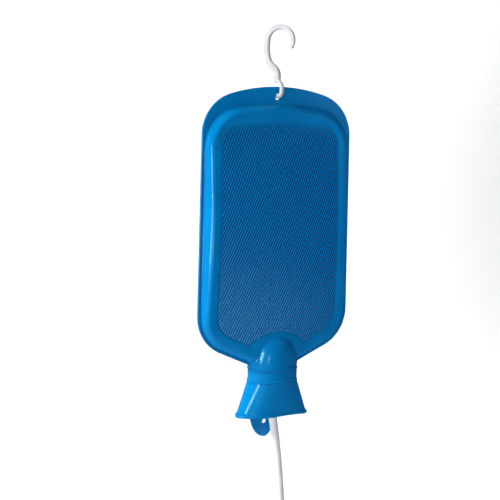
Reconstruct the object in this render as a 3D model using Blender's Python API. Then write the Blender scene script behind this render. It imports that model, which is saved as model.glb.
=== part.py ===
"""Rubber irrigation bag, hung neck down from an S-hook, with its hose, tap and nozzle.

The script works in millimetres and makes its meshes in metres, +Z up, +X to the right and
-Y to the front. The origin is where a peg meets the inside of the hook's upper bend. Depths
on the bag are counted down from the top edge of its hanging tab.
"""

import math

import bmesh
import bpy
from mathutils import Vector

MM = 0.001
GAP = 0.3

# Where the main pieces sit
TAB_TOP_Z = -57.3
SWING_X = -1.9
SWING_Z = -67.5
HANG_HOLE_R = 4.1

# S-hook
HOOK_TURN = math.radians(45)
BARB_TURN = math.radians(60)
BEND_R = 14.0
CREST_R = 3.25
STEM_R = 3.75
EYE_R = 2.2

# Bag outline, as depths and half widths
TOP_ARCH_R = 190.0
TOP_CORNER_R = 44.5
TOP_HALF_WIDTH = 86.2
LOW_HALF_WIDTH = 88.1
LOW_CORNER_R = 43.7
LOW_CORNER_DEPTH = 237.2
SHOULDER_ANGLE = math.radians(24.5)
FLANGE_HALF = 1.5
WALL = 2.0

# Panel swell
EDGE_HEIGHT = 7.5
SWELL = 5.8
CROWN = 3.6
SWELL_TOP = 30.0
SWELL_LENGTH = 250.0
RIB_HALF_WIDTH = 69.0

# Neck, funnel and tongue
NECK_END = 297.3
NECK_HALF_WIDTH = 28.2
NECK_HALF_DEPTH = 20.0
BEAD = 0.8
BEAD_DEPTHS = (298.3, 311.1)
MOUTH_DEPTH = 349.0
MOUTH_HALF_WIDTH = 42.6
MOUTH_HALF_DEPTH = 17.0
FUNNEL_WALL = 2.4
TONGUE_X = -1.3
TONGUE_HALF_WIDTH = 18.5
TONGUE_END = 376.3
TONGUE_LEAN = 0.08
TONGUE_HOLE_DEPTH = 360.0
TONGUE_HOLE_R = 2.45

# Screw joint between bush and adapter
BUSH_R = 17.0
BUSH_TOP = 288.0
BUSH_END = 310.0
PITCH = 4.0
THREAD_CREST_R = 11.65
THREAD_ROOT_R = 10.25
THREAD_PLAY = 0.4
THREAD_TOP = 290.0
WASHER_R = 14.3
WASHER_HOLE_R = 12.4
FLANGE_TOP = 312.3
GRIP_R = 11.0

# Hose
HOSE_R = 4.5
HOSE_BORE_R = 2.0
CUFF_R = 5.5
BARB_TOP = 322.0
BARB_END = 341.2
FOLD_R = 27.0
WAIST_R = 10.0
HANK_X = 12.5
HANK_TOP = 458.0
HANK_RUN = 187.0
HANK_FRONT = -9.0
HANK_BACK = 9.0
HANK_UPPER_BACK = 18.0
TAIL_X = 8.0
TAIL_Y = 17.9
TAIL_DROP = 24.0

# The hose from the adapter to the hank: x, y and depth
HOSE_ROUTE = (
    (0.0, 0.0, 341.8),
    (0.3, 0.0, 346.0),
    (1.0, 0.0, 350.0),
    (2.2, 0.0, 355.4),
    (4.6, -0.2, 370.0),
    (6.6, -0.7, 385.0),
    (8.3, -1.4, 400.7),
    (10.1, -2.6, 423.0),
    (11.5, -3.7, 443.0),
    (12.4, -4.4, 457.7),
)

# Tap and nozzle, as depths below the tap's stop ring
TAP_BARB = 16.0
PLUG_DEPTH = 12.0
PLUG_R = 4.4
HOUSING_R = 7.5
OUTLET_START = 22.0
OUTLET_END = 36.0
NOZZLE_START = 23.0
NOZZLE_END = 101.0
NOZZLE_BORE_R = 1.2

SEGMENTS = 40


def clear_scene():
    for old in list(bpy.data.objects):
        bpy.data.objects.remove(old, do_unlink=True)


def make_material(name, color, roughness):
    made = bpy.data.materials.new(name)
    made.use_nodes = True
    shader = made.node_tree.nodes["Principled BSDF"]
    shader.inputs["Base Color"].default_value = (*color, 1.0)
    shader.inputs["Roughness"].default_value = roughness
    shader.inputs["Metallic"].default_value = 0.0
    made.diffuse_color = (*color, 1.0)
    return made


def add_empty(name, place, parent=None):
    """An empty at place, a point in millimetres in the object's frame."""
    empty = bpy.data.objects.new(name, None)
    bpy.context.scene.collection.objects.link(empty)
    set_place(empty, place, parent)
    return empty


def set_place(obj, place, parent=None):
    obj["place"] = place
    origin = Vector(place) * MM
    if parent is not None:
        obj.parent = parent
        origin -= Vector(parent["place"]) * MM
    obj.location = origin


def add_object(name, bm, material, place=(0, 0, 0), parent=None):
    """Turns a bmesh in millimetres, about its own place, into a shaded object."""
    bmesh.ops.remove_doubles(bm, verts=bm.verts, dist=1e-4)
    bmesh.ops.recalc_face_normals(bm, faces=bm.faces)
    bmesh.ops.scale(bm, vec=(MM, MM, MM), verts=bm.verts)
    mesh = bpy.data.meshes.new(name)
    bm.to_mesh(mesh)
    bm.free()
    mesh.shade_smooth()
    mesh.set_sharp_from_angle(angle=math.radians(35))
    obj = bpy.data.objects.new(name, mesh)
    bpy.context.scene.collection.objects.link(obj)
    if material is not None:
        mesh.materials.append(material)
    set_place(obj, place, parent)
    return obj


def combine(obj, tool, operation):
    """A Boolean with a tool object that is itself left out of the model."""
    step = obj.modifiers.new(tool.name, "BOOLEAN")
    step.operation = operation
    step.solver = "EXACT"
    step.object = tool
    tool.hide_render = True
    tool.display_type = "WIRE"


def loft(rings, closed=False):
    """Joins rings of equal length by faces; closed joins the last to the first, else both are capped."""
    bm = bmesh.new()
    loops = [[bm.verts.new(point) for point in ring] for ring in rings]
    pairs = list(zip(loops, loops[1:]))
    if closed:
        pairs.append((loops[-1], loops[0]))
    for first, second in pairs:
        count = len(first)
        for i in range(count):
            j = (i + 1) % count
            bm.faces.new((first[i], first[j], second[j], second[i]))
    if not closed:
        bm.faces.new(loops[0][::-1])
        bm.faces.new(loops[-1])
    return bm


def circle(radius, z, count=SEGMENTS, center=(0.0, 0.0)):
    """A ring of points; radius may be a function of the angle."""
    ring = []
    for i in range(count):
        angle = math.tau * i / count
        reach = radius(angle) if callable(radius) else radius
        ring.append((center[0] + reach * math.cos(angle), center[1] + reach * math.sin(angle), z))
    return ring


def turned(rows, count=SEGMENTS):
    """A ring-shaped solid from rows of radius and height that run once round its section."""
    return loft([circle(radius, z, count) for radius, z in rows], closed=True)


def rod(radius, start, end, count=24):
    """A cylinder between two points."""
    start, end = Vector(start), Vector(end)
    axis = (end - start).normalized()
    side = axis.orthogonal().normalized()
    up = axis.cross(side)
    rings = []
    for center in (start, end):
        turn = [math.tau * i / count for i in range(count)]
        rings.append([center + radius * (math.cos(a) * side + math.sin(a) * up) for a in turn])
    return loft(rings)


def box(low, high):
    bm = bmesh.new()
    size = Vector(high) - Vector(low)
    bmesh.ops.create_cube(bm, size=1.0)
    bmesh.ops.scale(bm, vec=size, verts=bm.verts)
    bmesh.ops.translate(bm, vec=(Vector(low) + Vector(high)) / 2, verts=bm.verts)
    return bm


def extruded(outline, low, high):
    """A prism along Y of an outline of x and z points."""
    return loft([[(x, y, z) for x, z in outline] for y in (low, high)])


def smooth_path(points, step):
    """Points about step apart on a smooth curve through the given ones."""
    knots = [Vector(p) for p in points]
    knots = [2 * knots[0] - knots[1], *knots, 2 * knots[-1] - knots[-2]]
    path = []
    for a, b, c, d in zip(knots, knots[1:], knots[2:], knots[3:]):
        parts = max(1, round((c - b).length / step))
        for i in range(parts):
            t = i / parts
            bend = (c - a) * t + (2 * a - 5 * b + 4 * c - d) * t**2
            path.append(b + 0.5 * (bend + (3 * b - a - 3 * c + d) * t**3))
    path.append(knots[-2])
    return path


def tube(name, path, radii, material, place, parent, resolution=2):
    """A filled tube along the path, as a bevelled curve; radii is one for each point."""
    curve = bpy.data.curves.new(name, "CURVE")
    curve.dimensions = "3D"
    curve.bevel_depth = MM
    curve.bevel_resolution = resolution
    curve.use_fill_caps = True
    spline = curve.splines.new("POLY")
    spline.points.add(len(path) - 1)
    for point, where, radius in zip(spline.points, path, radii):
        point.co = (*((Vector(where) - Vector(place)) * MM), 1.0)
        point.radius = radius
    spline.use_smooth = True
    curve.materials.append(material)
    obj = bpy.data.objects.new(name, curve)
    bpy.context.scene.collection.objects.link(obj)
    set_place(obj, place, parent)
    return obj


def arc(center, radius, start, end, parts):
    """Points on an arc, angles from straight up, clockwise, with depths growing downwards."""
    points = []
    for i in range(parts + 1):
        angle = start + (end - start) * i / parts
        points.append((center[0] + radius * math.sin(angle), center[1] - radius * math.cos(angle)))
    return points


def bag_outline(inset, top_depth, arch_r=TOP_ARCH_R, corner_r=TOP_CORNER_R):
    """The bag's outline as x and depth, moved in by inset at the sides and the shoulders."""
    half = TOP_HALF_WIDTH - inset
    corner_r = max(corner_r - inset, 4.0)
    arch_center = top_depth + arch_r
    corner_x = half - corner_r
    corner_depth = arch_center - math.sqrt((arch_r - corner_r) ** 2 - corner_x**2)
    turn = math.asin(corner_x / (arch_r - corner_r))
    low_x = LOW_HALF_WIDTH - LOW_CORNER_R
    low_r = LOW_CORNER_R - inset
    right = arc((0.0, arch_center), arch_r, 0.0, turn, 6)
    right += arc((corner_x, corner_depth), corner_r, turn, math.pi / 2, 8)[1:]
    side = right[-1]
    low = arc((low_x, LOW_CORNER_DEPTH), low_r, math.pi / 2, math.pi - SHOULDER_ANGLE, 8)
    for i in range(1, 6):
        right.append(tuple(side[k] + (low[0][k] - side[k]) * i / 6 for k in (0, 1)))
    right += low
    end = low[-1]
    for i in range(1, 5):
        share = i / 4
        right.append((end[0] * (1 - share), end[1] + end[0] * share * math.tan(SHOULDER_ANGLE)))
    left = [(-x, depth) for x, depth in right[-2:0:-1]]
    return right + left


def panel_height(x, depth):
    """How far the panel stands off the seam plane."""
    along = min(max((depth - SWELL_TOP) / SWELL_LENGTH, 0.0), 1.0)
    across = max(1.0 - (x / RIB_HALF_WIDTH) ** 2, 0.0)
    crown = CROWN * across * min(max((depth - 38.0) / 60.0, 0.0), 1.0)
    return EDGE_HEIGHT + SWELL * math.sin(math.pi * along) ** 1.5 + crown


def dish(rows, thinner):
    """A closed shell of both sides: rows are inset, top depth and share of the panel's height."""
    front = []
    for inset, top_depth, base, share in rows:
        arch_r = TOP_ARCH_R if top_depth < 10 else 2 * TOP_ARCH_R
        ring = []
        for x, depth in bag_outline(inset, top_depth, arch_r):
            height = base + share * (panel_height(x, depth) - thinner - base)
            ring.append((x, -height, -depth))
        front.append(ring)
    widest = front[-1]
    for share in (0.3, 0.6, 0.86):
        ring = []
        for x, _, z in widest:
            depth = -z
            middle = min(max(depth, 90.0), 215.0)
            x_in = x * (1 - share)
            depth_in = depth + (middle - depth) * share
            ring.append((x_in, -(panel_height(x_in, depth_in) - thinner), -depth_in))
        front.append(ring)
    back = [[(x, -y, z) for x, y, z in ring] for ring in front]
    return loft(front[::-1] + back)


def neck_rings(thinner, rows, count=SEGMENTS):
    return [
        [((half - thinner) * math.cos(a), (deep - thinner) * math.sin(a), -depth)
         for a in (math.tau * i / count for i in range(count))]
        for half, deep, depth in rows
    ]


def bag_panel(name, side, material, parent):
    """One half of the bag: the dish and the dome, hollowed, cut at the seam plane."""
    flat = FLANGE_HALF
    outer = dish(
        (
            (0.0, 0.0, flat - 0.3, 0.0),
            (0.4, 0.4, flat, 0.0),
            (3.2, 17.9, flat, 0.0),
            (4.2, 18.8, flat, 0.42),
            (6.6, 20.8, flat, 0.76),
            (9.6, 23.4, flat, 0.95),
            (13.4, 27.4, flat, 1.08),
            (17.2, 33.0, flat, 1.06),
            (19.0, 37.0, flat, 1.0),
        ),
        0.0,
    )
    hollow = dish(
        (
            (6.4, 21.0, 0.3, 0.0),
            (7.4, 22.0, 0.3, 0.5),
            (9.8, 24.4, 0.3, 0.88),
            (13.4, 28.0, 0.3, 1.0),
        ),
        WALL,
    )
    dome = (
        (4.5, 8.0, 260.2),
        (9.5, 10.8, 261.3),
        (14.0, 13.2, 263.0),
        (17.8, 15.2, 265.2),
        (20.6, 16.9, 268.0),
        (22.8, 18.2, 271.6),
        (24.6, 19.2, 276.0),
        (26.2, 19.8, 281.5),
        (27.5, NECK_HALF_DEPTH, 288.0),
        (NECK_HALF_WIDTH, NECK_HALF_DEPTH, 293.8),
        (NECK_HALF_WIDTH, NECK_HALF_DEPTH, NECK_END),
    )
    place = (0.0, 0.0, TAB_TOP_Z)
    panel = add_object(name, outer, material, place, parent)
    tools = (
        ("dome", loft(neck_rings(0.0, dome)), "UNION"),
        ("hollow", hollow, "DIFFERENCE"),
        ("dome_hollow", loft(neck_rings(3.2, dome[1:6] + ((22.2, 20.4, 286.6),))), "DIFFERENCE"),
        ("neck_bore", rod(BUSH_R + GAP, (0, 0, -285.6), (0, 0, -310), 40), "DIFFERENCE"),
        ("neck_trim", box((-60, -60, -330), (60, 60, -NECK_END)), "DIFFERENCE"),
        ("hang_hole", rod(HANG_HOLE_R, (SWING_X, -9, SWING_Z - TAB_TOP_Z),
                          (SWING_X, 9, SWING_Z - TAB_TOP_Z)), "DIFFERENCE"),
        ("seam", box((-120, GAP / 2, -400), (120, 60, 20)) if side > 0
         else box((-120, -60, -400), (120, -GAP / 2, 20)), "INTERSECT"),
    )
    for tool_name, shape, operation in tools:
        tool = add_object(f"{name}_{tool_name}_tool", shape, None, place, parent)
        combine(panel, tool, operation)
    return panel


def oval(half, deep, depth, count=SEGMENTS):
    turn = [math.tau * i / count for i in range(count)]
    return [(half * math.cos(a), deep * math.sin(a), -depth) for a in turn]


def flare(depth):
    """Half width and half depth of the funnel's outside."""
    share = max(depth - BEAD_DEPTHS[1], 0.0) / (MOUTH_DEPTH - BEAD_DEPTHS[1])
    half = NECK_HALF_WIDTH + (MOUTH_HALF_WIDTH - NECK_HALF_WIDTH) * share
    return half, NECK_HALF_DEPTH + (MOUTH_HALF_DEPTH - NECK_HALF_DEPTH) * share


def funnel(material, parent):
    top = NECK_END + GAP
    rows = [(NECK_HALF_WIDTH, NECK_HALF_DEPTH, top)]
    for depth in BEAD_DEPTHS:
        for offset, proud in ((-0.7, 0.0), (0.0, BEAD), (0.8, 0.0)):
            if depth + offset > top + 0.05:
                half, deep = flare(depth + offset)
                rows.append((half + proud, deep + proud, depth + offset))
    for depth in (320.0, 330.0, 340.0, MOUTH_DEPTH - 0.8):
        rows.append((*flare(depth), depth))
    outside = [oval(*row) for row in rows]
    lip = (MOUTH_HALF_WIDTH - FUNNEL_WALL / 2, MOUTH_HALF_DEPTH - FUNNEL_WALL / 2)
    inside = [oval(*lip, MOUTH_DEPTH)]
    for depth in (MOUTH_DEPTH - 0.8, 340.0, 330.0, 320.0, 314.0):
        half, deep = flare(depth)
        inside.append(oval(half - FUNNEL_WALL, deep - FUNNEL_WALL, depth))
    bore = BUSH_R + GAP
    inside += [oval(bore, bore, depth) for depth in (BUSH_END + 0.6, top)]
    place = (0.0, 0.0, TAB_TOP_Z)
    piece = add_object("funnel", loft(outside + inside, closed=True), material, place, parent)
    tongue = add_object("funnel_tongue_tool", tongue_shape(), None, place, parent)
    combine(piece, tongue, "UNION")
    hole = rod(TONGUE_HOLE_R, (TONGUE_X, 5, -TONGUE_HOLE_DEPTH), (TONGUE_X, 30, -TONGUE_HOLE_DEPTH))
    combine(piece, add_object("tongue_hole_tool", hole, None, place, parent), "DIFFERENCE")
    return piece


def tongue_shape():
    """The tongue carries on the back of the funnel's lip, as a rounded flap that leans inwards."""
    rings = []
    root = MOUTH_DEPTH - 3.0
    columns = [-1.0, -0.7, -0.35, 0.0, 0.35, 0.7, 1.0]
    parts = 10
    for i in range(parts + 1):
        share = i / parts
        depth = root + (TONGUE_END - root) * math.sin(math.pi / 2 * share) ** 0.85
        half = max(TONGUE_HALF_WIDTH * math.cos(math.pi / 2 * share) ** 0.85, 0.8)
        inward = TONGUE_LEAN * max(depth - MOUTH_DEPTH, 0.0)
        ring = []
        for skin in (0.2, FUNNEL_WALL - 0.1):
            for column in columns if skin < 1 else columns[::-1]:
                x = TONGUE_X + half * column
                back = MOUTH_HALF_DEPTH * math.sqrt(1 - (x / MOUTH_HALF_WIDTH) ** 2)
                ring.append((x, back - skin - inward, -depth))
        rings.append(ring)
    return loft(rings)


def thread_rows(start, end, play, closing, step=0.8):
    """Rows of a right-hand thread from start down to end, as radii by angle; closing is the thread's
    share of its full height at its two ends."""

    def row(z):
        whole = max(0.0, min(1.0, (start - z) / 1.5, (z - end) / 1.5))

        def radius(angle):
            phase = (z / PITCH - angle / math.tau) % 1.0
            rise = min(max(3.0 * (0.5 - abs(phase - 0.5)) - 0.25, 0.0), 1.0)
            rise = closing + (rise - closing) * whole
            return THREAD_ROOT_R + play + (THREAD_CREST_R - THREAD_ROOT_R) * rise

        return radius

    count = round((start - end) / step)
    heights = [start + (end - start) * i / count for i in range(count + 1)]
    return [(row(z), z) for z in heights]


def neck_bush(material, place, parent):
    """A threaded sleeve with a groove round its outside, where the neck's rubber grips it."""
    rows = [(BUSH_R, -BUSH_END), (BUSH_R, -BUSH_END + 6.0)]
    rows += [(BUSH_R - 1.2, -BUSH_END + 7.0), (BUSH_R - 1.2, -BUSH_TOP - 7.0)]
    rows += [(BUSH_R, -BUSH_TOP - 6.0), (BUSH_R, -BUSH_TOP)]
    rows += thread_rows(-BUSH_TOP, -BUSH_END, THREAD_PLAY, 1.0)
    return add_object("neck_bush", turned(rows, 24), material, place, parent)


def hose_adapter(material, place, parent):
    def hexagon(angle):
        turn = angle % (math.pi / 3) - math.pi / 6
        return GRIP_R * math.cos(math.pi / 6) / math.cos(turn)

    rows = [(THREAD_ROOT_R - 1.0, -THREAD_TOP)]
    rows += thread_rows(-THREAD_TOP - 0.6, -BUSH_END + 1.0, 0.0, 0.0)
    rows += [(THREAD_ROOT_R, -BUSH_END), (THREAD_ROOT_R, -FLANGE_TOP)]
    rows += [(WASHER_R, -FLANGE_TOP), (WASHER_R, -FLANGE_TOP - 2.2)]
    rows += [(WASHER_R - 0.8, -FLANGE_TOP - 3.0), (hexagon, -FLANGE_TOP - 3.0)]
    rows += [(hexagon, -BARB_TOP + 0.8), (GRIP_R - 2.6, -BARB_TOP), (3.4, -BARB_TOP)]
    rows += barb_rows(-BARB_TOP - 1.5, -BARB_END)
    rows += [(HOSE_BORE_R, -BARB_END), (HOSE_BORE_R, -THREAD_TOP)]
    return add_object("hose_adapter", turned(rows, 24), material, place, parent)


def barb_rows(start, end):
    """Four hose barbs between two heights, from the root to the tip."""
    rows = [(3.2, start)]
    teeth = 4
    for i in range(teeth):
        top = start + (end - start) * (i + 0.25) / teeth
        low = start + (end - start) * (i + 1) / teeth
        rows += [(3.2, top), (3.95, top + (end - start) * 0.03), (3.2, low)]
    return rows


def cuff(name, low, high, mouth, material, place, parent):
    """The end of the hose, stretched over a barb; mouth is the end that meets the barb's root."""
    far = low if mouth == high else high
    inward = 1.0 if far > mouth else -1.0
    bore = 3.95 + GAP
    rows = [(bore, mouth), (CUFF_R, mouth), (CUFF_R, far - inward * 3.0)]
    rows += [(HOSE_R + 0.25, far), (bore, far)]
    return add_object(name, turned(rows, 24), material, place, parent)


def hank_outline(lowest=-math.inf):
    """The hank's outer shape down to lowest: two round ends and a drawn-in waist."""
    upper = -HANK_TOP - FOLD_R - HOSE_R
    lower = upper - HANK_RUN
    reach = FOLD_R + HOSE_R
    right = [(reach * x, upper + reach * z) for x, z in quarter(0)]
    for i in range(1, 12):
        share = i / 12
        half = WAIST_R + (FOLD_R - WAIST_R) * (1 + math.cos(math.tau * share)) / 2
        right.append((half + HOSE_R, upper + (lower - upper) * share))
    right += [(reach * x, lower + reach * z) for x, z in quarter(1)]
    right = [(x, z) for x, z in right if z > lowest]
    left = [(-x, z) for x, z in right[::-1] if x > 0.01]
    return right + left


def quarter(turn, parts=8):
    """Points on a quarter of a circle, clockwise from the top or, for turn 1, from the right."""
    angles = [math.pi / 2 * (turn + i / parts) for i in range(parts + 1)]
    return [(math.sin(a), math.cos(a)) for a in angles]


def hank_middle():
    return -HANK_TOP - FOLD_R - HOSE_R - HANK_RUN / 2


def hose_hank(material, place, parent):
    """Two layers of loops all the way down, a third above the tie, and the tail that leaves it."""
    loops = extruded(hank_outline(), HANK_FRONT, HANK_BACK)
    hank = add_object("hose_hank", loops, material, place, parent)
    middle = hank_middle()
    third = extruded(hank_outline(middle - 8.0), HANK_BACK - 1.0, HANK_UPPER_BACK)
    combine(hank, add_object("third_layer_tool", third, None, place, parent), "UNION")
    tied = HANK_UPPER_BACK - HOSE_R - 0.5
    bends = ((tied, 2.0), (tied, -7.0), (TAIL_Y, 5.0 - TAIL_DROP), (TAIL_Y, -TAIL_DROP))
    corners = [Vector((TAIL_X, y, middle + z)) for y, z in bends]
    for i, (start, end) in enumerate(zip(corners, corners[1:])):
        run = rod(HOSE_R, start - 0.2 * (end - start).normalized(), end, 20)
        combine(hank, add_object(f"tail_{i}_tool", run, None, place, parent), "UNION")
    return hank


def hank_tie(material, place, parent):
    """A band round the waist of the hank."""
    wide = WAIST_R + HOSE_R
    centre = (HANK_FRONT + HANK_UPPER_BACK) / 2
    deep = (HANK_UPPER_BACK - HANK_FRONT) / 2

    def band(extra, z):
        ring = []
        for turn, side, back in ((0, 1, 1), (1, -1, 1), (2, -1, -1), (3, 1, -1)):
            for i in range(4):
                angle = math.pi / 2 * (turn + i / 3)
                x = side * (wide - 0.1) + (1.0 + extra) * math.cos(angle)
                y = centre + back * (deep - 0.5) + (1.0 + extra) * math.sin(angle)
                ring.append((x, y, z))
        return ring

    low, high = hank_middle() - 6.0, hank_middle() + 6.0
    rings = [band(0.0, low), band(1.6, low), band(1.6, high), band(0.0, high)]
    return add_object("hank_tie", loft(rings, closed=True), material, place, parent)


def tap_body(material, place, parent):
    rows = [(HOSE_BORE_R, TAP_BARB)] + barb_rows(1.5, TAP_BARB)[::-1]
    rows += [(3.4, 0.0), (6.2, 0.0), (6.2, -2.0), (5.2, -2.6), (5.2, -OUTLET_START + 1.0)]
    rows += [(4.6, -OUTLET_START), (3.4, -OUTLET_START), (3.1, -OUTLET_END)]
    rows += [(HOSE_BORE_R, -OUTLET_END)]
    body = add_object("tap_body", turned(rows, 24), material, place, parent)
    across = (0, -HOUSING_R, -PLUG_DEPTH), (0, HOUSING_R, -PLUG_DEPTH)
    housing = add_object("tap_housing_tool", rod(HOUSING_R, *across, 28), None, place, parent)
    combine(body, housing, "UNION")
    through = (0, -HOUSING_R - 2, -PLUG_DEPTH), (0, HOUSING_R + 2, -PLUG_DEPTH)
    seat = add_object("tap_seat_tool", rod(PLUG_R + GAP, *through, 28), None, place, parent)
    combine(body, seat, "DIFFERENCE")
    return body


def tap_plug(material, place, parent):
    """The plug lies along Y, about its own origin; its handle points along the flow when open."""
    plug = add_object("tap_plug", rod(PLUG_R, (0, -HOUSING_R, 0), (0, HOUSING_R + 2, 0), 28),
                      material, place, parent)
    face = HOUSING_R + GAP
    corner = ((-0.6, -1), (0.6, -1), (1, -0.8), (1, 0.8), (0.6, 1), (-0.6, 1), (-1, 0.8), (-1, -0.8))
    handle = extruded([(3.0 * x, 13.0 * z) for x, z in corner], face + 1.0, face + 7.0)
    tools = (
        ("plug_head_tool", rod(6.8, (0, face, 0), (0, face + 2.2, 0), 28), "UNION"),
        ("plug_handle_tool", handle, "UNION"),
        ("plug_bore_tool", rod(HOSE_BORE_R, (0, 0, -9), (0, 0, 9), 16), "DIFFERENCE"),
        ("plug_dimple_tool", rod(2.4, (0, -HOUSING_R - 1, 0), (0, -HOUSING_R + 3, 0), 16), "DIFFERENCE"),
    )
    for name, shape, operation in tools:
        combine(plug, add_object(name, shape, None, place, parent), operation)
    return plug


def nozzle(material, place, parent):
    """A slim tapered tube with a grip flange, a socket for the tap's outlet and a round tip."""
    rows = [(NOZZLE_BORE_R, OUTLET_END + 1.5), (3.1 + GAP, OUTLET_END + 1.0)]
    rows += [(3.5 + GAP, NOZZLE_START), (7.4, NOZZLE_START), (7.4, NOZZLE_START + 2.0)]
    rows += [(5.4, NOZZLE_START + 3.0), (5.2, OUTLET_END), (3.6, OUTLET_END + 4.0)]
    rows += [(2.5, NOZZLE_END - 14.0)]
    for i in range(7):
        share = i / 6
        rows.append((2.5 + 1.2 * math.sin(math.pi * share), NOZZLE_END - 11.0 + 9.5 * share))
    rows += [(1.9, NOZZLE_END), (NOZZLE_BORE_R, NOZZLE_END)]
    rows = [(radius, -depth) for radius, depth in rows]
    return add_object("nozzle", turned(rows, 24), material, place, parent)


def s_hook(material):
    """One path for the open bend, the stem and the small eye, each part in its own upright plane."""
    center = CREST_R - BEND_R
    path, radii = [], []
    upper = [(-0.4, 0.9, 1.2), (-0.34, 2.0, 1.2), (-0.2, 2.4, 0.0)]
    for turn, radius, _ in upper:
        path.append((BEND_R * math.cos(turn), center + BEND_R * math.sin(turn)))
        radii.append(radius)
    for i in range(19):
        turn = math.pi * i / 18
        path.append((BEND_R * math.cos(turn), center + BEND_R * math.sin(turn)))
        radii.append(2.6 + (CREST_R - 2.6) * min(1.0, i / 9) + (STEM_R - CREST_R) * max(0.0, i / 9 - 1))
    stem = ((-14.3, -16.0), (-14.2, -20.5), (-13.6, -25.0), (-12.1, -30.2), (-9.3, -34.8),
            (-5.8, -38.1), (-3.2, -41.2), (-2.2, -45.2), (-2.1, -49.0))
    stem = [(p.x, p.y) for p in smooth_path([(x, z, 0) for x, z in (path[-1], *stem)], 2.5)][1:]
    path += stem
    radii += [STEM_R] * len(stem)
    points = [(u * math.cos(HOOK_TURN), -u * math.sin(HOOK_TURN), z) for u, z in path]
    points += [(SWING_X + 0.7, 0.4, -50.6)]
    radii += [3.0]
    eye = ((2.4, -52.0), (4.7, -54.2), (5.7, -57.8), (5.7, -61.3), (4.9, -64.6), (2.9, -66.8),
           (0.0, SWING_Z), (-2.9, -66.8), (-4.8, -64.7), (-5.7, -61.7), (-5.9, -58.6))
    eye = smooth_path([(v, z, 0) for v, z in eye], 1.5)
    points += [(SWING_X + p.x * math.cos(BARB_TURN), -p.x * math.sin(BARB_TURN), p.y) for p in eye]
    radii += [EYE_R] * (len(eye) - 1) + [EYE_R - 0.5]
    tip = points[-1]
    points.append((tip[0] - 0.1, tip[1] + 0.1, tip[2] + 0.9))
    radii.append(0.8)
    return tube("s_hook", points, radii, material, (0, 0, 0), None, resolution=3)


def build():
    clear_scene()
    rubber = make_material("blue_rubber", (0.0, 0.13, 0.38), 0.35)
    white = make_material("white_plastic", (0.86, 0.86, 0.9), 0.3)
    bush = make_material("bush_plastic", (0.75, 0.76, 0.8), 0.4)
    hose = make_material("white_hose", (0.84, 0.83, 0.9), 0.35)
    washer = make_material("washer_rubber", (0.08, 0.08, 0.09), 0.6)
    tie = make_material("tie_strap", (0.1, 0.1, 0.12), 0.7)
    handle = make_material("tap_blue", (0.02, 0.16, 0.5), 0.35)

    s_hook(white)
    swing = add_empty("swing_axis", (SWING_X, 0.0, SWING_Z))
    bag_panel("front_panel", -1, rubber, swing)
    bag_panel("back_panel", 1, rubber, swing)
    funnel(rubber, swing)
    neck = (0.0, 0.0, TAB_TOP_Z)
    neck_bush(bush, neck, swing)

    screw = add_empty("screw_axis", neck, swing)
    ring = [(WASHER_HOLE_R, -BUSH_END - GAP), (WASHER_HOLE_R, -FLANGE_TOP + GAP),
            (WASHER_R, -FLANGE_TOP + GAP), (WASHER_R, -BUSH_END - GAP)]
    add_object("stopper_washer", turned(ring, 36), washer, neck, screw)
    hose_adapter(white, neck, screw)
    cuff("hose_cuff", -BARB_END - 0.3, -BARB_TOP - GAP, -BARB_TOP - GAP, hose, neck, screw)
    route = [(x, y, TAB_TOP_Z - depth) for x, y, depth in HOSE_ROUTE]
    path = smooth_path(route, 8.0)
    tube("hose_drop", path, [HOSE_R] * len(path), hose, neck, screw)

    hank_place = (HANK_X, 0.0, TAB_TOP_Z)
    hose_hank(hose, hank_place, screw)
    hank_tie(tie, hank_place, screw)
    stop = hank_middle() - TAIL_DROP - TAP_BARB - 2 * GAP
    tap_place = (HANK_X + TAIL_X, TAIL_Y, TAB_TOP_Z + stop)
    cuff("hose_end_cuff", GAP, TAP_BARB + GAP, GAP, hose, tap_place, screw)
    tap_body(white, tap_place, screw)
    plug_place = (tap_place[0], tap_place[1], tap_place[2] - PLUG_DEPTH)
    tap_plug(handle, plug_place, screw)
    nozzle(white, tap_place, screw)


build()
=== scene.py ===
"""The looks of the rubber irrigation bag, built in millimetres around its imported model.

Depths are counted down from the top edge of the bag's hanging tab, as in the part's own script.
"""

import math

import bmesh
import bpy
import numpy as np
from mathutils import Matrix, Vector


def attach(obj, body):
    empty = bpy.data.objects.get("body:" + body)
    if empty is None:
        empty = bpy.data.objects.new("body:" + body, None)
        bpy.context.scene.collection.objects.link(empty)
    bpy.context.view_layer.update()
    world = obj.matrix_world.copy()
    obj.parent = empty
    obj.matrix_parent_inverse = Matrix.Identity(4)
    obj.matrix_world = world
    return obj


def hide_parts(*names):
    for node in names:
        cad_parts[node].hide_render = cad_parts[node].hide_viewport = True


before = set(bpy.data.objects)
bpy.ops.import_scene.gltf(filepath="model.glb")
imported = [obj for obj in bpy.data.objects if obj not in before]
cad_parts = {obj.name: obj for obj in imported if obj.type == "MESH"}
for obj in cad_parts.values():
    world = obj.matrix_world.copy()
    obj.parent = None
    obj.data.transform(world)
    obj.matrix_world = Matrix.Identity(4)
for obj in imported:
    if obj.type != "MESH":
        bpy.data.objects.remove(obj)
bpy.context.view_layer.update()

MM = 0.001
TAB_TOP_Z = -57.3
TAU = math.tau

# The camera
CAM_AZIMUTH = math.radians(-26.0)
CAM_DOWN = math.radians(7.17)
CAM_DISTANCE = 1.15
CAM_TARGET = Vector((-0.0295, 0.0, -0.2269))
CAM_ROLL = math.radians(1.19)
CAM_LENS = 79.3

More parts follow.
